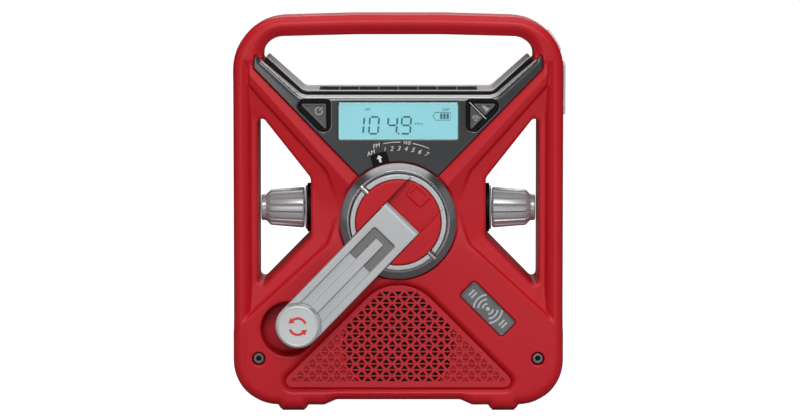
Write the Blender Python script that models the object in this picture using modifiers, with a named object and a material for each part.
"""Hand-cranked emergency radio: a carrying frame in two shells round a cross-shaped body.

Axes: +X to the right, +Y to the back, +Z up. The origin is on the resting plane, midway between the feet.
Run with: blender --background --python part.py
"""

import math

import bmesh
import bpy
from mathutils import Matrix, Vector

# ---------------------------------------------------------------- driving dimensions (metres)
HALF_WIDTH = 0.0725
TOP = 0.175
FRONT = -0.0224  # front face of the body
BACK = 0.026  # back face of the body
SEAM = 0.00015  # half the gap between the two shells, at y = 0
WALL = 0.002
FACE_WALL = 0.0032
GAP = 0.0003  # between pieces that sit in one another
FIT = 0.0002  # between a shaft or pin and its bore, on the radius
PAST = 0.001  # how far a cutter reaches past the face it cuts
FRONT_ROUND = 0.0042
BACK_ROUND = 0.0050
SHELF_DEPTH = 0.0014
CONSOLE_DEPTH = 0.0020
GRILLE_DEPTH = 0.0024
NAMEPLATE_DEPTH = 0.0011
FLARE = 0.0014  # width of the chamfer round the windows
FLARE_SOFTER = 0.0010
BUTTON_BACK = -0.0184
BUTTON_TRAVEL = 0.0012
HUB_HOLE_RADIUS = 0.0230
ARC_STEP = math.radians(22.5)
LARGE_ARC = 0.008  # arcs of this radius and over get half the step

BOTTOM = 0.0026  # underside of the body on the inner side of the feet
OUTER_BOTTOM = 0.0028
RAISED_BOTTOM = 0.005
FOOT_X = 0.0464
FOOT_TOP_WIDTH = 0.0133
FOOT_WIDTH = 0.0107
FOOT_PAD = 0.0008

TRAY_FLAT_X = 0.0424  # the floor of the handle opening is flat as far as this
TRAY_Z = 0.1394
TRAY_END = (0.0598, 0.1553)
TRAY_THICKNESS = 0.0016

CRANK_Z = 0.0845
ARM_ANGLE = math.radians(134)  # turn about Y that takes +X to the stowed arm's direction
ARM_LENGTH = 0.0635
ARM_WIDTH = 0.0196
ARM_BACK = -0.0272
ARM_FRONT = -0.0322
HINGE_Y = (ARM_BACK + ARM_FRONT) / 2
ARM_ROOT = 0.0032  # how far the arm reaches past its hinge
CHANNEL_FLOOR = -0.0263
HUB_RADIUS = 0.0187
HUB_RING_RADIUS = 0.0211
HUB_FRONT = -0.0317
HUB_RING_FRONT = -0.0306
HINGE_PIN_RADIUS = 0.0011
KNOB_RADIUS = 0.00915

BAND_RING_INNER = 0.0215
BAND_RING_OUTER = 0.0256
BAND_RING_FRONT = -0.0264

DIAL_Z = 0.0886  # axis of the two side knobs, at y = 0
WINDOW_INNER_X = 0.0386
WINDOW_OUTER_X = 0.0618
BEZEL_RADIUS = 0.0109
BEZEL = (0.0389, 0.0413)

SPEAKER_Z = 0.0295
GEAR_MODULE_SLOW = 0.001
GEAR_MODULE_FAST = 0.0008
GEAR_TEETH = 36
PINION_TEETH = 12
GEAR_CENTRES_SLOW = GEAR_MODULE_SLOW * (GEAR_TEETH + PINION_TEETH) / 2
GEAR_CENTRES_FAST = GEAR_MODULE_FAST * (GEAR_TEETH + PINION_TEETH) / 2
IDLER_Z = CRANK_Z - GEAR_CENTRES_SLOW
ROTOR_X = GEAR_CENTRES_FAST
SHAFT_RADIUS = 0.0029
AXLE_RADIUS = 0.0015

ANTENNA_X = -0.058
ANTENNA_Y = 0.030
ANTENNA_Z = 0.1335

FRONT_SCREWS = [(-0.0616, 0.0233), (0.0616, 0.0233)]
REAR_SCREWS = [(-0.047, 0.1245), (0.047, 0.1245)]
BOSS_RADIUS = 0.0036
SCREW_BORE_RADIUS = 0.0016
COUNTERBORE_RADIUS = 0.0027
COUNTERBORE_DEPTH = 0.0040
POCKET = (-0.0486, 0.0364)
POCKET_RADIUS = 0.012
POCKET_FLOOR = -0.0095
BATTERY_RADIUS = 0.00525
BATTERY_LENGTH = 0.0445
BATTERY_PITCH = 0.0114
BATTERY_BAY = (-0.0260, 0.0120, 0.0260, 0.0470)  # x, z, x, z of the opening
PORT_BAY = (-0.0180, 0.1000, 0.0180, 0.1130)
LCD = (-0.0262, 0.1203, 0.0262, 0.1370)


# ---------------------------------------------------------------- scene and materials
for old in list(bpy.data.objects):
    bpy.data.objects.remove(old, do_unlink=True)


def collection(name):
    made = bpy.data.collections.new(name)
    bpy.context.scene.collection.children.link(made)
    return made


PARTS = collection("emergency_radio")
CUTTERS = collection("cutters")


def material(name, colour, roughness, metallic=0.0):
    made = bpy.data.materials.new(name)
    made.use_nodes = True
    shader = made.node_tree.nodes["Principled BSDF"]
    shader.inputs["Base Color"].default_value = (*colour, 1)
    shader.inputs["Roughness"].default_value = roughness
    shader.inputs["Metallic"].default_value = metallic
    return made


RED = material("red_plastic", (0.55, 0.02, 0.03), 0.42)
GREY = material("grey_plastic", (0.30, 0.31, 0.32), 0.4)
DARK = material("dark_gloss_plastic", (0.06, 0.065, 0.07), 0.2)
BLACK = material("black_plastic", (0.015, 0.015, 0.016), 0.45)
SILVER = material("silver_plastic", (0.55, 0.56, 0.57), 0.35, 0.4)
STEEL = material("steel", (0.62, 0.62, 0.63), 0.25, 1.0)
BRASS = material("brass", (0.70, 0.52, 0.22), 0.3, 1.0)
BOARD = material("circuit_board", (0.03, 0.20, 0.08), 0.5)
RUBBER = material("black_rubber", (0.02, 0.02, 0.02), 0.8)
GLASS = material("clear_lens", (0.75, 0.90, 0.92), 0.08)
DISPLAY = material("display", (0.35, 0.75, 0.80), 0.3)
CELL = material("solar_cell", (0.01, 0.012, 0.03), 0.15)
PAPER = material("speaker_paper", (0.05, 0.05, 0.05), 0.9)
GEAR = material("white_gear_plastic", (0.80, 0.80, 0.76), 0.5)


# ---------------------------------------------------------------- outlines: lists of (x, z)
def arc(x, z, radius, start, end):
    """Points on an arc, both ends included. Angles in degrees, anticlockwise seen from the front."""
    turn = math.radians(end - start)
    step = ARC_STEP / 2 if radius >= LARGE_ARC else ARC_STEP
    steps = max(1, math.ceil(abs(turn) / step - 1e-6))
    angles = [math.radians(start) + turn * i / steps for i in range(steps + 1)]
    return [(x + radius * math.cos(a), z + radius * math.sin(a)) for a in angles]


def rounded(corners, grow=0.0):
    """An outline from (x, z, radius) corners, anticlockwise, each edge moved out by grow."""
    outline = []
    count = len(corners)
    for i, (x, z, radius) in enumerate(corners):
        here = Vector((x, z))
        into = (here - Vector(corners[i - 1][:2])).normalized()
        out = (Vector(corners[(i + 1) % count][:2]) - here).normalized()
        turn = math.atan2(into.cross(out), into.dot(out))
        normal_in = Vector((into.y, -into.x))
        miter = (normal_in + Vector((out.y, -out.x))).normalized()
        corner = here + miter * grow / math.cos(turn / 2)
        side = math.copysign(1.0, turn)
        size = max(radius + side * grow, 0.0)
        if size < 1e-5 or abs(turn) < 1e-3:
            outline.append(tuple(corner))
            continue
        centre = corner - miter * side * size / math.cos(turn / 2)
        start = math.degrees(math.atan2(*reversed(normal_in * side)))
        outline += arc(centre.x, centre.y, size, start, start + math.degrees(turn))
    return outline


def mirrored(corners):
    return [(-x, z, radius) for x, z, radius in reversed(corners)]


def rectangle(x0, z0, x1, z1, radius=0.0):
    return [(x0, z0, radius), (x1, z0, radius), (x1, z1, radius), (x0, z1, radius)]


def symmetric(half):
    """Both halves of a shape from the corners of its right half, bottom centre to top centre."""
    return half + mirrored(half)


FRAME = symmetric([
    (0.0274, RAISED_BOTTOM, 0.003),
    (0.0329, BOTTOM, 0.003),
    (FOOT_X - FOOT_TOP_WIDTH / 2, BOTTOM, 0),
    (FOOT_X - FOOT_WIDTH / 2, FOOT_PAD, 0),
    (FOOT_X + FOOT_WIDTH / 2, FOOT_PAD, 0),
    (FOOT_X + FOOT_TOP_WIDTH / 2, OUTER_BOTTOM, 0),
    (HALF_WIDTH, OUTER_BOTTOM, 0.0195),
    (HALF_WIDTH, TOP - 0.0015, 0.0232),
    (0.020, TOP, 0.06),
])
HANDLE_OPENING = symmetric([
    (TRAY_FLAT_X, TRAY_Z, 0.002),
    (TRAY_END[0], TRAY_END[1], 0.0005),
    (TRAY_END[0], 0.1655, 0.0093),
    (0.020, 0.1665, 0.05),
])
WINDOW = [
    (-WINDOW_OUTER_X, 0.0535, 0.0018),
    (-WINDOW_INNER_X, 0.0770, 0.004),
    (-WINDOW_INNER_X, 0.1030, 0.004),
    (-WINDOW_OUTER_X, 0.1325, 0.0018),
]
SHELF = [
    (-0.0646, 0.0425, 0.001),
    (-0.0313, 0.0743, 0.006),
    (-0.0262, 0.0900, 0.020),
    (-0.0317, 0.1061, 0.006),
    (-0.0646, 0.1440, 0.001),
]
CONSOLE = symmetric([
    (0.0160, 0.1030, 0.0005),
    (0.0633, 0.1516, 0.001),
    (0.0633, 0.1545, 0.001),
    (0.0624, 0.1584, 0.001),
    (TRAY_FLAT_X - 0.0008, 0.1406, 0.006),
])
CONSOLE_HOLE = symmetric([(0.030, 0.1189, 0), (0.0465, 0.1345, 0), (0.0465, 0.1379, 0)])
GRILLE = [(-0.0540, 0.0103, 0.003), (0.0540, 0.0103, 0.003), (0.0, 0.0643, 0.0203)]
BUTTON_WELL = [(-0.0297, 0.1383, 0.0012), (-0.0475, 0.1383, 0.0022), (-0.0297, 0.1204, 0.0022)]


# ---------------------------------------------------------------- solids
def put(obj, name, finish, parent=None, location=(0, 0, 0), rotation=(0, 0, 0)):
    """Names the object and gives it its finish and its place under its parent."""
    obj.name = name
    obj.data.name = name
    obj.parent = parent
    obj.location = location
    obj.rotation_euler = rotation
    for other in list(obj.users_collection):
        other.objects.unlink(obj)
    (PARTS if finish else CUTTERS).objects.link(obj)
    if finish:
        obj.data.materials.clear()
        obj.data.materials.append(finish)
    else:
        obj.hide_render = True
        obj.display_type = "WIRE"
    return obj


def empty(name, location, rotation=(0, 0, 0), parent=None):
    """An axis that moving pieces hang on."""
    made = bpy.data.objects.new(name, None)
    made.empty_display_size = 0.01
    made.location = location
    made.rotation_euler = rotation
    made.parent = parent
    PARTS.objects.link(made)
    return made


def solid(name, shape, finish, parent, location=(0, 0, 0), rotation=(0, 0, 0)):
    """An object from a finished bmesh, with its faces turned outward."""
    bmesh.ops.recalc_face_normals(shape, faces=shape.faces)
    mesh = bpy.data.meshes.new(name)
    shape.to_mesh(mesh)
    shape.free()
    return put(bpy.data.objects.new(name, mesh), name, finish, parent, location, rotation)


def loft(name, near, far, start, end, finish=None, parent=None):
    """Joins two flat (x, z) outlines with as many points each: near at y = start, far at y = end."""
    shape = bmesh.new()
    first = [shape.verts.new((x, start, z)) for x, z in near]
    last = [shape.verts.new((x, end, z)) for x, z in far]
    for i, vertex in enumerate(first):
        following = (i + 1) % len(first)
        shape.faces.new((vertex, first[following], last[following], last[i]))
    shape.faces.new(first)
    shape.faces.new(last)
    return solid(name, shape, finish, parent)


UPRIGHT = Matrix.Rotation(math.pi / 2, 4, "X")  # turns a flat outline to face the front
SIDEWAYS = Matrix(((0, 0, 1, 0), (1, 0, 0, 0), (0, 1, 0, 0), (0, 0, 0, 1)))  # its (x, y) become (y, z)


def prism(name, outline, start, end, finish=None, parent=None, axis="Y"):
    """A flat outline drawn out along Y, of (x, z) points, or along X, of (y, z) points."""
    curve = bpy.data.curves.new(name, "CURVE")
    curve.dimensions = "2D"
    curve.fill_mode = "BOTH"
    curve.extrude = (end - start) / 2
    spline = curve.splines.new("POLY")
    spline.points.add(len(outline) - 1)
    for point, (a, b) in zip(spline.points, outline):
        point.co = (a, b, 0, 1)
    spline.use_cyclic_u = True
    flat = bpy.data.objects.new(name, curve)
    bpy.context.scene.collection.objects.link(flat)
    evaluated = flat.evaluated_get(bpy.context.evaluated_depsgraph_get())
    mesh = bpy.data.meshes.new_from_object(evaluated)
    bpy.data.objects.remove(flat)
    shape = bmesh.new()
    shape.from_mesh(mesh)
    bpy.data.meshes.remove(mesh)
    bmesh.ops.remove_doubles(shape, verts=shape.verts, dist=1e-6)
    bmesh.ops.dissolve_limit(shape, angle_limit=0.001, verts=shape.verts, edges=shape.edges)
    middle = (start + end) / 2
    place = Matrix.Translation((middle, 0, 0)) @ SIDEWAYS if axis == "X" else (
        Matrix.Translation((0, middle, 0)) @ UPRIGHT)
    bmesh.ops.transform(shape, matrix=place, verts=shape.verts)
    return solid(name, shape, finish, parent)


def box(name, low, high, finish=None, parent=None):
    shape = bmesh.new()
    bmesh.ops.create_cube(shape, size=1)
    bmesh.ops.scale(shape, vec=Vector(high) - Vector(low), verts=shape.verts)
    bmesh.ops.translate(shape, vec=(Vector(low) + Vector(high)) / 2, verts=shape.verts)
    return solid(name, shape, finish, parent)


TURN = {"X": (0, math.pi / 2, 0), "Y": (-math.pi / 2, 0, 0), "Z": (0, 0, 0)}


def cylinder(name, radius, start, end, finish=None, parent=None, axis="Y", segments=24):
    """A cylinder between two points on a line along the axis."""
    shape = bmesh.new()
    length = (Vector(end) - Vector(start)).length
    bmesh.ops.create_cone(
        shape, cap_ends=True, segments=segments, radius1=radius, radius2=radius, depth=length)
    return solid(name, shape, finish, parent, (Vector(start) + Vector(end)) / 2, TURN[axis])


def turned(name, profile, finish=None, parent=None, location=(0, 0, 0), axis="Y", steps=32):
    """A turned solid. profile is a run of (radius, distance along the axis) points, down the outer side."""
    mesh = bpy.data.meshes.new(name)
    solid_core = profile[0][0] == 0 and profile[-1][0] == 0
    edges = [(i, i + 1) for i in range(len(profile) - 1)]
    if not solid_core:
        edges.append((len(profile) - 1, 0))
    mesh.from_pydata([(radius, 0, along) for radius, along in profile], edges, [])
    obj = put(bpy.data.objects.new(name, mesh), name, finish, parent, location, TURN[axis])
    screw_modifier = obj.modifiers.new("turn", "SCREW")
    screw_modifier.steps = steps
    screw_modifier.render_steps = steps
    screw_modifier.use_merge_vertices = True
    screw_modifier.merge_threshold = 1e-6
    return obj


def cut(obj, *cutters, operation="DIFFERENCE"):
    for cutter in cutters:
        boolean = obj.modifiers.new(cutter.name, "BOOLEAN")
        boolean.operation = operation
        boolean.solver = "EXACT"
        boolean.object = cutter
    return obj


def join(obj, *others):
    return cut(obj, *others, operation="UNION")


def round_face(obj, y, width, segments):
    """Rounds the edges that lie on the plane y."""
    weights = obj.data.attributes.new("bevel_weight_edge", "FLOAT", "EDGE")
    for edge in obj.data.edges:
        ends = [obj.data.vertices[i].co.y for i in edge.vertices]
        weights.data[edge.index].value = 1.0 if all(abs(e - y) < 1e-6 for e in ends) else 0.0
    bevel = obj.modifiers.new("round", "BEVEL")
    bevel.limit_method = "WEIGHT"
    bevel.width = width
    bevel.segments = segments
    return obj


def bevel(obj, width, segments=1, angle=40):
    modifier = obj.modifiers.new("edge", "BEVEL")
    modifier.width = width
    modifier.segments = segments
    modifier.limit_method = "ANGLE"
    modifier.angle_limit = math.radians(angle)
    return obj


# ---------------------------------------------------------------- shells
def handle_slope(name, inset):
    """Everything behind the handle, whose back leans from the back of the body to the front at the top."""
    foot, head = (BACK - inset, TRAY_Z), (0.012 - inset, TOP + 0.002)
    return prism(name, [foot, (0.06, TRAY_Z), (0.06, head[1]), head], -0.09, 0.09, axis="X")


def cavity(name, front, back, slope=False):
    """The hollow inside a shell: the frame, less its openings and bosses, all with walls round them."""
    hollow = prism(name, rounded(FRAME, -WALL), front, back)
    ends = (front - 0.01, back + 0.01)
    cut(hollow, prism(name + "_handle", rounded(HANDLE_OPENING, WALL), *ends))
    for side, corners in (("left", WINDOW), ("right", mirrored(WINDOW))):
        cut(hollow, prism(f"{name}_{side}", rounded(corners, WALL), *ends))
    for i, (x, z) in enumerate(FRONT_SCREWS + REAR_SCREWS):
        cut(hollow, cylinder(f"{name}_boss_{i}", BOSS_RADIUS, (x, ends[0], z), (x, ends[1], z), segments=12))
    if slope:
        cut(hollow, handle_slope(name + "_slope", WALL))
    return hollow


def cut_openings(shell, name, front, back):
    """The holes that both shells share: handle, windows, knob shafts, flashlight and beacon."""
    cut(shell, prism(name + "_handle_cut", rounded(HANDLE_OPENING), front, back))
    for side, corners, sign in (("left", WINDOW, -1), ("right", mirrored(WINDOW), 1)):
        cut(shell, prism(f"{name}_{side}_window_cut", rounded(corners), front, back))
        ends = [(x, 0, DIAL_Z) for x in sorted((sign * 0.0360, sign * 0.0395))]
        cut(shell, cylinder(f"{name}_{side}_shaft_cut", 0.0038, *ends, axis="X", segments=16))
    cut(shell, box(name + "_flashlight_cut", (0.069, -0.007, 0.1300), (0.076, 0.007, 0.1510)))
    cut(shell, prism(name + "_beacon_cut", beacon_outline(GAP), -0.0063, 0.0063))
    return shell


def flare(shell, name, face, inward):
    """Chamfers the rims of the windows where they meet the face. Its corners are rounder than the windows'."""
    for side, corners in (("left", WINDOW), ("right", mirrored(WINDOW))):
        corners = [(x, z, radius + FLARE_SOFTER) for x, z, radius in corners]
        cut(shell, loft(f"{name}_{side}_flare", rounded(corners, 2 * FLARE), rounded(corners, -FLARE),
                        face - inward * FLARE, face + inward * 2 * FLARE))


BEACON_CENTRE = (0.0493, 0.1503)


def beacon_outline(grow):
    x, z = BEACON_CENTRE
    spread = math.degrees(grow / 0.022)
    inner = arc(x, z, 0.0200 - grow, 45 + spread, 20 - spread)
    return arc(x, z, 0.0241 + grow, 20 - spread, 45 + spread) + inner


def front_shell():
    shell = prism("front_shell", rounded(FRAME), FRONT, -SEAM, RED)
    round_face(shell, FRONT, FRONT_ROUND, 2)
    hollow = cavity("front_hollow", FRONT + FACE_WALL, 0.01)
    depths = (FRONT - PAST, POCKET_FLOOR, POCKET_FLOOR + WALL)
    mouth, floor, underside = [(POCKET[0], y, POCKET[1]) for y in depths]
    cut(hollow, cylinder("pocket_cup", POCKET_RADIUS + WALL, mouth, underside))
    cut(shell, hollow)
    cut_openings(shell, "front", FRONT - 0.01, 0.01)
    flare(shell, "front", FRONT, 1)
    for side, corners in (("left", SHELF), ("right", mirrored(SHELF))):
        cut(shell, prism(f"shelf_{side}", rounded(corners), FRONT - PAST, FRONT + SHELF_DEPTH))
    start, inside = FRONT - PAST, FRONT + FACE_WALL + PAST
    cut(shell, prism("console_recess", rounded(CONSOLE, GAP), start, FRONT + CONSOLE_DEPTH))
    cut(shell, prism("console_hole", rounded(CONSOLE_HOLE), start, inside + BUTTON_TRAVEL))
    cut(shell, prism("grille_recess", rounded(GRILLE, GAP), start, FRONT + GRILLE_DEPTH))
    cut(shell, prism("grille_hole", rounded(GRILLE, -0.0025), start, inside))
    cut(shell, cylinder("hub_hole", HUB_HOLE_RADIUS, (0, start, CRANK_Z), (0, inside, CRANK_Z), segments=32))
    cut(shell, cylinder("pocket", POCKET_RADIUS, mouth, floor))
    cut(shell, prism("nameplate_recess", turned_outline(NAMEPLATE, GAP), start, FRONT + NAMEPLATE_DEPTH))
    for i, (x, z) in enumerate(FRONT_SCREWS):
        step = FRONT + COUNTERBORE_DEPTH
        cut(shell, cylinder(f"front_counterbore_{i}", COUNTERBORE_RADIUS, (x, start, z), (x, step, z),
                            segments=16))
        cut(shell, cylinder(f"front_bore_{i}", SCREW_BORE_RADIUS, (x, FRONT, z), (x, PAST, z), segments=12))
    for i, (x, z) in enumerate(REAR_SCREWS):
        cut(shell, cylinder(f"front_pilot_{i}", SCREW_BORE_RADIUS, (x, -0.012, z), (x, PAST, z), segments=12))
    return shell


NAMEPLATE = (0.0395, 0.0455, 0.0260, 0.0091, -45)  # centre, length, height, turn


def turned_outline(plate, grow):
    """A rounded rectangle turned about its own centre."""
    x, z, length, height, degrees = plate
    c, s = math.cos(math.radians(degrees)), math.sin(math.radians(degrees))
    flat = rounded(rectangle(-length / 2, -height / 2, length / 2, height / 2, 0.0015), grow)
    return [(x + px * c - pz * s, z + px * s + pz * c) for px, pz in flat]


def rear_shell():
    shell = prism("rear_shell", rounded(FRAME), SEAM, BACK, RED)
    round_face(shell, BACK, BACK_ROUND, 2)
    cut(shell, handle_slope("rear_slope", 0))
    cut(shell, cavity("rear_hollow", -0.01, BACK - WALL - 0.0002, slope=True))
    cut_openings(shell, "rear", -0.01, BACK + 0.01)
    flare(shell, "rear", BACK, -1)
    x0, z0, x1, z1 = BATTERY_BAY
    cut(shell, box("battery_cut", (x0, BACK - 0.004, z0), (x1, BACK + 0.002, z1)))
    x0, z0, x1, z1 = PORT_BAY
    cut(shell, box("port_recess", (x0, BACK - 0.0014, z0), (x1, BACK + 0.002, z1)))
    cut(shell, box("usb_cut", (-0.0145, BACK - 0.004, 0.1037), (-0.0015, BACK, 0.1093)))
    cut(shell, cylinder("antenna_bolt_cut", 0.0016, (ANTENNA_X, BACK - 0.004, ANTENNA_Z),
                        (ANTENNA_X, BACK + 0.001, ANTENNA_Z), segments=12))
    for i, (x, z) in enumerate(REAR_SCREWS):
        step = BACK - COUNTERBORE_DEPTH
        cut(shell, cylinder(f"rear_counterbore_{i}", COUNTERBORE_RADIUS, (x, step, z), (x, BACK + PAST, z),
                            segments=16))
        cut(shell, cylinder(f"rear_bore_{i}", SCREW_BORE_RADIUS, (x, -PAST, z), (x, BACK, z), segments=12))
    for i, (x, z) in enumerate(FRONT_SCREWS):
        cut(shell, cylinder(f"rear_pilot_{i}", SCREW_BORE_RADIUS, (x, -PAST, z), (x, 0.010, z), segments=12))
    return shell


def screw(name, x, z, head, tip):
    """A round-head screw with a hexagon socket. Its head is at y = head, and its tip at y = tip."""
    out = math.copysign(1.0, tip - head)
    shank = cylinder(name, 0.0013, (x, head + out * 0.0014, z), (x, tip, z), STEEL, segments=12)
    cap = cylinder(name + "_head", 0.0024, (x, head, z), (x, head + out * 0.0016, z), segments=16)
    socket_ends = (x, head - out * PAST, z), (x, head + out * 0.0010, z)
    socket = cylinder(name + "_socket", 0.0011, *socket_ends, segments=6)
    return cut(join(shank, cap), socket)


# ---------------------------------------------------------------- console, display and buttons
def console():
    panel = prism("console_panel", rounded(CONSOLE), FRONT + 0.0001, FRONT + 0.0018, DARK)
    x0, z0, x1, z1 = LCD
    cut(panel, prism("lcd_window", rounded(rectangle(x0, z0, x1, z1, 0.0006)), FRONT - 0.001, FRONT + 0.003))
    cut(panel, prism("power_well", rounded(BUTTON_WELL), FRONT - 0.001, FRONT + 0.003))
    for name, corners in split_well():
        cut(panel, prism(name + "_well", rounded(corners, -0.0002), FRONT - 0.001, FRONT + 0.003))
    cut(panel, cylinder("console_ring_cut", 0.0262, (0, FRONT - 0.001, CRANK_Z), (0, FRONT + 0.004, CRANK_Z),
                        segments=48))
    lens = rounded(rectangle(x0, z0, x1, z1, 0.0006), -0.0002)
    prism("lcd_lens", lens, FRONT + 0.0002, FRONT + 0.0014, GLASS)
    box("lcd_module", (x0 - 0.0018, FRONT + 0.0025, z0 - 0.001), (x1 + 0.0018, FRONT + 0.0058, z1), DISPLAY)
    board = box("display_board", (-0.0425, -0.0160, 0.1192), (0.0425, -0.0148, 0.1370), BOARD)
    for name, x, z in (("power", -0.0335, 0.1340), ("light", 0.0375, 0.1345), ("alert", 0.0330, 0.1290)):
        join(board, box(name + "_switch", (x - 0.002, -0.0168, z - 0.002), (x + 0.002, -0.0155, z + 0.002)))


def split_well():
    """The right-hand well is two triangles, split from its square corner to the middle of its long side."""
    square, far, low = [(-x, z) for x, z, _ in BUTTON_WELL]
    middle = ((far[0] + low[0]) / 2, (far[1] + low[1]) / 2)
    light = [(*square, 0.001), (*middle, 0.001), (*far, 0.0022)]
    alert = [(*square, 0.001), (*low, 0.0022), (*middle, 0.001)]
    return ("light", light), ("alert", alert)


def buttons():
    """Three push buttons. Each travels into the panel along +Y."""
    wells = (("power", BUTTON_WELL, -0.0012), *((name, corners, -0.0006) for name, corners in split_well()))
    for name, corners, inset in wells:
        prism(name + "_button", rounded(corners, inset), FRONT + 0.0002, BUTTON_BACK, GREY)


# ---------------------------------------------------------------- solar tray
def tray_band(low, high):
    """The outline of a band that follows the floor of the handle opening, from low to high above it."""
    floor = [(TRAY_END[0] - 0.0006, TRAY_END[1] - 0.0006), (TRAY_FLAT_X, TRAY_Z)]
    floor += [(-x, z) for x, z in reversed(floor)]
    lean = math.atan2(floor[0][1] - floor[1][1], floor[0][0] - floor[1][0])
    normals = [(-math.sin(lean), math.cos(lean)), (-math.tan(lean / 2), 1), (math.tan(lean / 2), 1),
               (math.sin(lean), math.cos(lean))]
    under = [(x + low * nx, z + low * nz) for (x, z), (nx, nz) in zip(floor, normals)]
    over = [(x + high * nx, z + high * nz) for (x, z), (nx, nz) in zip(floor, normals)]
    return under[::-1] + over


def solar_tray():
    cover = prism("top_cover", tray_band(GAP, TRAY_THICKNESS), -0.0202, BACK - 0.0003, GREY)
    cut(cover, handle_slope("cover_slope", 0.0006))
    cut(cover, box("solar_recess", (-0.0350, -0.0160, TRAY_Z + 0.0009), (0.0350, 0.0200, TRAY_Z + 0.01)))
    box("solar_panel", (-0.0347, -0.0157, TRAY_Z + 0.0010), (0.0347, 0.0197, TRAY_Z + 0.0019), CELL)


# ---------------------------------------------------------------- speaker
def speaker():
    grille = prism("speaker_grille", rounded(GRILLE), FRONT + 0.0010, FRONT + 0.0021, RED)
    rows = 9
    for i in range(rows):
        rise = (i - (rows - 1) / 2) * 0.0042
        reach = math.sqrt(0.0190 ** 2 - rise ** 2)
        low = SPEAKER_Z + rise - 0.0010
        cut(grille, box(f"grille_slot_{i}", (-reach, FRONT, low), (reach, FRONT + 0.004, low + 0.0020)))
    place = (0, 0, SPEAKER_Z)
    basket = [(0.0, -0.0020), (0.0110, -0.0020), (0.0110, -0.0085), (0.0118, -0.0085), (0.0200, -0.0165),
              (0.0200, -0.0182), (0.0180, -0.0182), (0.0180, -0.0170), (0.0108, -0.0100), (0.0, -0.0100)]
    turned("speaker_frame", basket, STEEL, location=place)
    cone = [(0.0, -0.0112), (0.0060, -0.0112), (0.0176, -0.0175), (0.0176, -0.0182), (0.0168, -0.0182),
            (0.0052, -0.0120), (0.0, -0.0120)]
    turned("speaker_cone", cone, PAPER, location=place)


# ---------------------------------------------------------------- crank and gear train
def gear_outline(teeth, module, phase):
    """Trapezoid teeth. phase is where a tooth's middle points, in radians from +X."""
    pitch = math.tau / teeth
    radius = teeth * module / 2
    root, tip = radius - 1.20 * module, radius + 0.85 * module
    points = []
    for i in range(teeth):
        middle = phase + i * pitch
        for share, size in ((-0.27, root), (-0.10, tip), (0.10, tip), (0.27, root)):
            angle = middle + share * pitch
            points.append((size * math.cos(angle), size * math.sin(angle)))
    return points


def crank():
    spin = empty("crank_spin_axis", (0, 0, CRANK_Z))
    arm_frame = empty("crank_fold_axis", (0, HINGE_Y, 0), (0, ARM_ANGLE, 0), spin)
    half_channel = ARM_WIDTH / 2 + GAP

    hub = cylinder("crank_hub", HUB_RADIUS, (0, HUB_FRONT, 0), (0, -0.0195, 0), RED, spin, segments=48)
    ring = turned("hub_ring", [(HUB_RING_RADIUS, -0.0230), (HUB_RING_RADIUS, HUB_RING_FRONT),
                               (HUB_RADIUS + FIT, HUB_RING_FRONT), (HUB_RADIUS + FIT, -0.0230)],
                  SILVER, spin, steps=48)
    channel = box("hub_channel", (-0.03, -0.01, -half_channel), (0.03, CHANNEL_FLOOR - HINGE_Y, half_channel),
                  parent=arm_frame)
    pin_reach = HUB_RING_RADIUS + 0.0006
    pin_bore = cylinder("pin_bore", HINGE_PIN_RADIUS + FIT, (0, 0, -0.03), (0, 0, 0.03), parent=arm_frame,
                        axis="Z", segments=12)
    pin_slot = box("pin_slot", (-0.0014, -0.01, -0.03), (0.0014, 0.0014, 0.03), parent=arm_frame)
    shaft_bore = cylinder("shaft_bore", SHAFT_RADIUS + FIT, (0, -0.0248, 0), (0, -0.018, 0), parent=spin)
    cut(hub, channel, pin_bore, shaft_bore)
    cut(ring, channel, pin_slot)
    cylinder("hinge_pin", HINGE_PIN_RADIUS, (0, 0, -pin_reach), (0, 0, pin_reach), STEEL, arm_frame, "Z", 12)

    cylinder("crank_shaft", SHAFT_RADIUS, (0, -0.0245, 0), (0, -0.0004, 0), STEEL, spin)
    teeth = gear_outline(GEAR_TEETH, GEAR_MODULE_SLOW, math.radians(-90))
    drive = prism("drive_gear", teeth, -0.0125, -0.0095, GEAR, spin)
    cut(drive, cylinder("drive_bore", SHAFT_RADIUS + FIT, (0, -0.02, 0), (0, 0, 0), parent=spin))
    crank_arm(arm_frame, pin_bore)


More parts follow.
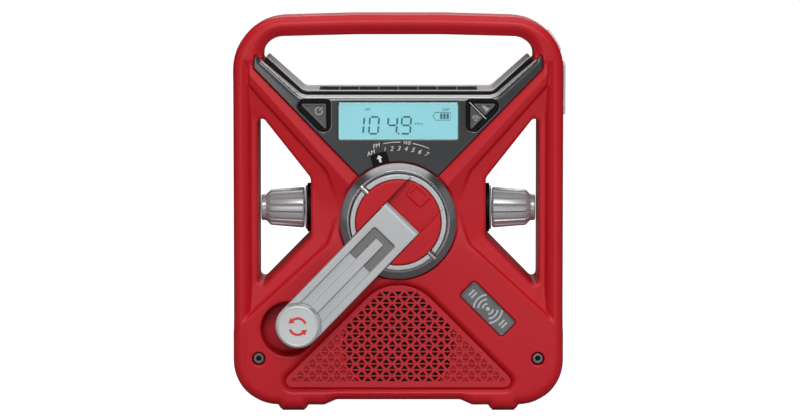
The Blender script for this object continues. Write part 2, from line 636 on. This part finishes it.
def crank_arm(frame, pin_bore):
    """The folding arm, in a frame whose +X runs from the hinge to the knob and whose y = 0 is the hinge."""
    half = ARM_WIDTH / 2
    back, front = ARM_BACK - HINGE_Y, ARM_FRONT - HINGE_Y
    outline = [(-ARM_ROOT, half), (-ARM_ROOT, -half)] + arc(ARM_LENGTH, 0, half, -90, 90)
    arm = prism("crank_arm", outline, front, back, SILVER, frame)
    root_cut = box("arm_root_cut", (-0.02, -0.01, -0.02), (-0.0007, 0.01, 0.02), parent=frame)
    root_round = cylinder("arm_root_round", 0.0025, (-0.0007, 0, -half), (-0.0007, 0, half), parent=frame,
                          axis="Z", segments=16)
    cut(join(cut(arm, root_cut), root_round), pin_bore)
    groove = prism("arm_groove", rounded(rectangle(0.0084, -0.0064, ARM_LENGTH, 0.0064, 0.0010)), -0.01,
                   front + 0.0016, parent=frame)
    rib = box("arm_rib", (0.0117, -0.02, -0.00215), (0.08, 0.02, 0.00215), parent=frame)
    cut(arm, cut(groove, rib))
    ahead, behind, seat = (ARM_LENGTH, -0.01, 0), (ARM_LENGTH, 0.01, 0), (ARM_LENGTH, front + 0.0020, 0)
    cut(arm, cylinder("knob_seat", 0.0103, ahead, seat, parent=frame, segments=32))
    cut(arm, cylinder("knob_bore", 0.0042, ahead, behind, parent=frame))

    knob = empty("knob_spin_axis", (ARM_LENGTH, -HINGE_Y, 0), parent=frame)
    grip = [(0.0076, -0.0229), (0.0076, -0.0268), (0.0039, -0.0268), (0.0039, -0.0300), (0.0017, -0.0300),
            (0.0017, -0.0229)]
    turned("knob_grip", grip, BLACK, knob, steps=24)
    cap = [(0.0, -0.0231), (0.0015, -0.0231), (0.0015, -0.0304), (KNOB_RADIUS, -0.0304),
           (KNOB_RADIUS, -0.0326), (KNOB_RADIUS - 0.0006, -0.0330), (0.0, -0.0330)]
    turned("knob_cap", cap, SILVER, knob)


def gearbox():
    bush = [(0.0052, -0.0136), (0.0052, -0.0160), (0.0070, -0.0160), (0.0070, -0.0172), (0.0031, -0.0172),
            (0.0031, -0.0136)]
    turned("crank_bearing", bush, BRASS, location=(0, 0, CRANK_Z), steps=24)
    plate = rounded([(-0.0205, 0.0515, 0.004), (0.0300, 0.0515, 0.004), (0.0300, 0.0660, 0.004),
                     (0.0225, 0.0760, 0.004), (0.0190, 0.1035, 0.004), (-0.0190, 0.1035, 0.004)])
    front = prism("gearbox_front_plate", plate, -0.0157, -0.0143, STEEL)
    rear = prism("gearbox_rear_plate", plate, -0.0030, -0.0016, STEEL)
    cut(front, cylinder("bush_hole", 0.0054, (0, -0.02, CRANK_Z), (0, 0, CRANK_Z)))
    cut(rear, cylinder("shaft_hole", SHAFT_RADIUS + FIT, (0, -0.01, CRANK_Z), (0, 0, CRANK_Z)))
    cut(front, cylinder("axle_hole", AXLE_RADIUS + FIT, (0, -0.02, IDLER_Z), (0, 0.01, IDLER_Z), segments=16))
    cut(rear, cylinder("rotor_hole", 0.0024, (ROTOR_X, -0.01, IDLER_Z), (ROTOR_X, 0, IDLER_Z), segments=16))
    for i, (x, z) in enumerate(((-0.0145, 0.0995), (0.0145, 0.0995), (-0.0165, 0.0660), (0.0265, 0.0550))):
        join(rear, cylinder(f"plate_post_{i}", 0.0015, (x, -0.0140, z), (x, -0.0020, z), segments=12))
    join(rear, cylinder("idler_axle", AXLE_RADIUS, (0, -0.0162, IDLER_Z), (0, -0.0020, IDLER_Z), segments=16))
    idler_axis = empty("idler_spin_axis", (0, 0, IDLER_Z))
    pinion_phase = math.radians(90) + math.pi / PINION_TEETH
    teeth = gear_outline(PINION_TEETH, GEAR_MODULE_SLOW, pinion_phase)
    idler = prism("idler_gear", teeth, -0.0134, -0.0070, GEAR, idler_axis)
    teeth = gear_outline(GEAR_TEETH, GEAR_MODULE_FAST, 0)
    wheel = prism("idler_wheel", teeth, -0.0085, -0.0055, parent=idler_axis)
    cut(join(idler, wheel), cylinder("idler_bore", AXLE_RADIUS + FIT, (0, -0.02, 0), (0, 0, 0),
                                     parent=idler_axis, segments=16))

    rotor_axis = empty("rotor_spin_axis", (ROTOR_X, 0, IDLER_Z))
    rotor_phase = math.pi + math.pi / PINION_TEETH
    teeth = gear_outline(PINION_TEETH, GEAR_MODULE_FAST, rotor_phase)
    pinion = prism("rotor_pinion", teeth, -0.0090, -0.0050, BRASS, rotor_axis)
    join(pinion, cylinder("rotor_shaft", 0.0012, (0, -0.0060, 0), (0, 0.0060, 0), parent=rotor_axis,
                          segments=12))
    can_ends = (ROTOR_X, -0.0012, IDLER_Z), (ROTOR_X, 0.0130, IDLER_Z)
    generator = cylinder("generator", 0.0115, *can_ends, STEEL)
    cut(generator, cylinder("generator_bore", 0.0015, (ROTOR_X, -0.01, IDLER_Z), (ROTOR_X, 0.0070, IDLER_Z),
                            segments=12))


# ---------------------------------------------------------------- band selector
FM_ANGLE = 16.6  # degrees that the pointer stands left of upright at rest


def band_selector():
    axis = empty("band_axis", (0, 0, CRANK_Z))
    inner, outer = BAND_RING_INNER, BAND_RING_OUTER
    profile = [(0.0226, -0.0190), (0.0226, -0.0227), (outer, -0.0227), (outer, -0.0242), (0.0240, -0.0262),
               (0.0232, BAND_RING_FRONT), (inner, BAND_RING_FRONT), (inner, -0.0190)]
    turned("band_ring", profile, DARK, axis, steps=48)
    start, end = 90 + FM_ANGLE - 8.0, 90 + FM_ANGLE + 8.0
    tab = arc(0, 0, outer + 0.0060, start, end) + arc(0, 0, outer + 0.0005, end, start)
    prism("band_pointer", tab, -0.0236, -0.0227, BLACK, axis)


# ---------------------------------------------------------------- side knobs
FLUTES = 14


def fluted(name, rings, finish, parent, side):
    """A loft along X through rings of (distance, radius, flute depth), each with two points to a flute."""
    shape = bmesh.new()
    count = 2 * FLUTES
    loops = []
    for distance, radius, depth in rings:
        sizes = [radius - depth * (i % 2) for i in range(count)]
        turns = [math.tau * i / count for i in range(count)]
        loops.append([shape.verts.new((side * distance, r * math.cos(t), r * math.sin(t)))
                      for r, t in zip(sizes, turns)])
    for near, far in zip(loops, loops[1:]):
        for i in range(count):
            j = (i + 1) % count
            shape.faces.new((near[i], near[j], far[j], far[i]))
    shape.faces.new(loops[0])
    shape.faces.new(loops[-1])
    return solid(name, shape, finish, parent)


def side_knobs():
    for name, inside, side in (("tuning", "tuning_encoder", -1), ("volume", "volume_control", 1)):
        axis = empty(name + "_axis", (0, 0, DIAL_Z))
        rings = [(0.0358, 0.0028, 0), (0.0417, 0.0028, 0), (0.0417, 0.0090, 0.0008), (0.0565, 0.0079, 0.0008),
                 (0.0588, 0.0058, 0), (0.0608, 0.0058, 0)]
        fluted(name + "_knob", rings, SILVER, axis, side)
        start, end = sorted((side * BEZEL[0], side * BEZEL[1]))
        bezel = cylinder(name + "_bezel", BEZEL_RADIUS, (start, 0, DIAL_Z), (end, 0, DIAL_Z), SILVER,
                         axis="X", segments=32)
        cut(bezel, cylinder(name + "_bezel_bore", 0.0034, (start - 0.01, 0, DIAL_Z), (end + 0.01, 0, DIAL_Z),
                            axis="X", segments=16))
        low, high = sorted((side * 0.0245, side * 0.0354))
        box(inside, (low, -0.0055, DIAL_Z - 0.0055), (high, 0.0055, DIAL_Z + 0.0055), BLACK)


# ---------------------------------------------------------------- lamps
def lamps():
    lens = box("flashlight_lens", (0.0708, -0.0067, 0.1303), (0.0746, 0.0067, 0.1507), GLASS)
    bevel(lens, 0.0008)
    board = box("led_board", (0.0662, -0.0062, 0.1310), (0.0674, 0.0062, 0.1500), BOARD)
    for i, z in enumerate((0.1350, 0.1405, 0.1460)):
        join(board, cylinder(f"led_{i}", 0.0022, (0.0670, 0, z), (0.0702, 0, z), axis="X", segments=12))
    prism("beacon_lens", beacon_outline(-0.0001), -0.0060, 0.0060, GLASS)


# ---------------------------------------------------------------- electronics and battery
def electronics():
    box("main_board", (-0.0330, 0.0176, 0.0780), (0.0330, 0.0188, 0.1330), BOARD)
    usb = box("usb_socket", (-0.0140, 0.0191, 0.1042), (-0.0020, 0.0240, 0.1088), STEEL)
    cut(usb, box("usb_mouth", (-0.0134, 0.0210, 0.1048), (-0.0026, 0.0250, 0.1082)))
    rod_ends = (-0.030, 0.0100, 0.1280), (0.030, 0.0100, 0.1280)
    cylinder("ferrite_rod", 0.0040, *rod_ends, BLACK, axis="X", segments=16)
    cover_axis = empty("port_cover_hinge", (0, BACK, PORT_BAY[1] + GAP))
    cover = prism("port_cover", rounded(rectangle(-0.0177, 0, 0.0177, 0.0124, 0.0010)), -0.0011, 0, RUBBER,
                  cover_axis)
    bevel(cover, 0.0002)


def battery():
    x0, z0, x1, z1 = BATTERY_BAY
    tray = box("battery_tray", (x0 - 0.0012, 0.0095, z0 - 0.0012), (x1 + 0.0012, 0.0234, z1 + 0.0012), BLACK)
    cut(tray, box("battery_room", (x0 + 0.0003, 0.0110, z0 + 0.0003), (x1 - 0.0003, 0.0300, z1 - 0.0003)))
    for i in range(3):
        z = (z0 + z1) / 2 + (i - 1) * BATTERY_PITCH
        ends = (-BATTERY_LENGTH / 2, 0.0172, z), (BATTERY_LENGTH / 2, 0.0172, z)
        cylinder(f"battery_{i + 1}", BATTERY_RADIUS, *ends, STEEL, axis="X", segments=20)
    hinge = empty("battery_door_hinge", (0, BACK, z0 + GAP))
    height = z1 - z0 - 2 * GAP
    leaf = rounded(rectangle(x0 + GAP, 0, x1 - GAP, height, 0.0010))
    door = prism("battery_door", leaf, -0.0019, 0, RED, hinge)
    notch_z = height - 0.0050
    cut(door, cylinder("door_thumb_notch", 0.0060, (0, 0.0040, notch_z), (0, -0.0009, notch_z), parent=hinge))


# ---------------------------------------------------------------- antenna
def antenna():
    """A whip on a turning fork. At rest it lies along +X behind the top of the body."""
    swing = empty("antenna_swing_axis", (ANTENNA_X, ANTENNA_Y, ANTENNA_Z))
    pivot = cylinder("antenna_pivot", 0.0044, (0, -0.0037, 0), (0, -0.0021, 0), STEEL, swing)
    fork = box("antenna_fork", (-0.0030, -0.0025, -0.0034), (0.0030, 0.0026, 0.0034), parent=swing)
    slot = box("antenna_fork_slot", (-0.01, -0.0020, -0.0016), (0.01, 0.01, 0.0016), parent=swing)
    bolt = cylinder("antenna_bolt", 0.0013, (0, -0.0075, 0), (0, -0.0030, 0), parent=swing, segments=12)
    cut(join(pivot, fork), slot)
    pin = cylinder("antenna_pin", 0.0005, (0, 0, -0.0025), (0, 0, 0.0025), parent=swing, axis="Z", segments=8)
    join(pivot, bolt, pin)

    sleeve = tube_profile(0.0030, 0.0024, 0.0048, 0.0960)
    tube = turned("antenna_tube", sleeve, STEEL, swing, axis="X", steps=16)
    tongue = box("antenna_tongue", (0.0011, -0.0013, -0.0012), (0.0060, 0.0013, 0.0012), parent=swing)
    knuckle = cylinder("antenna_knuckle", 0.0016, (0, 0, -0.0013), (0, 0, 0.0013), parent=swing, axis="Z",
                       segments=12)
    plug = cylinder("antenna_plug", 0.0027, (0.0050, 0, 0), (0.0070, 0, 0), parent=swing, axis="X",
                    segments=16)
    cut(join(tube, plug, tongue, knuckle),
        cylinder("antenna_pin_bore", 0.0007, (0, 0, -0.01), (0, 0, 0.01), parent=swing, axis="Z", segments=8))
    turned("antenna_middle", tube_profile(0.0022, 0.0016, 0.0080, 0.1020), STEEL, swing, axis="X", steps=16)
    rod = cylinder("antenna_rod", 0.0014, (0.0100, 0, 0), (0.1080, 0, 0), STEEL, swing, "X", 16)
    tip_ends = (0.1040, 0, 0), (0.1100, 0, 0)
    join(rod, cylinder("antenna_tip", 0.0026, *tip_ends, parent=swing, axis="X", segments=16))


def tube_profile(outer, inner, near, far):
    return [(outer, far), (outer, near), (inner, near), (inner, far)]


# ---------------------------------------------------------------- build
def build():
    front_shell()
    rear_shell()
    console()
    buttons()
    solar_tray()
    speaker()
    prism("nameplate", turned_outline(NAMEPLATE, 0), FRONT - 0.0001, FRONT + 0.0008, GREY)
    band_selector()
    crank()
    gearbox()
    side_knobs()
    lamps()
    electronics()
    battery()
    antenna()
    for side, x in (("left", -FOOT_X), ("right", FOOT_X)):
        box(f"foot_pad_{side}", (x - 0.0050, -0.0180, 0), (x + 0.0050, 0.0180, FOOT_PAD - 0.0002), RUBBER)
    for side, (x, z) in zip(("left", "right"), FRONT_SCREWS):
        screw(f"front_screw_{side}", x, z, FRONT + 0.0018, 0.0080)
    for side, (x, z) in zip(("left", "right"), REAR_SCREWS):
        screw(f"rear_screw_{side}", x, z, BACK - 0.0018, -0.0100)


build()
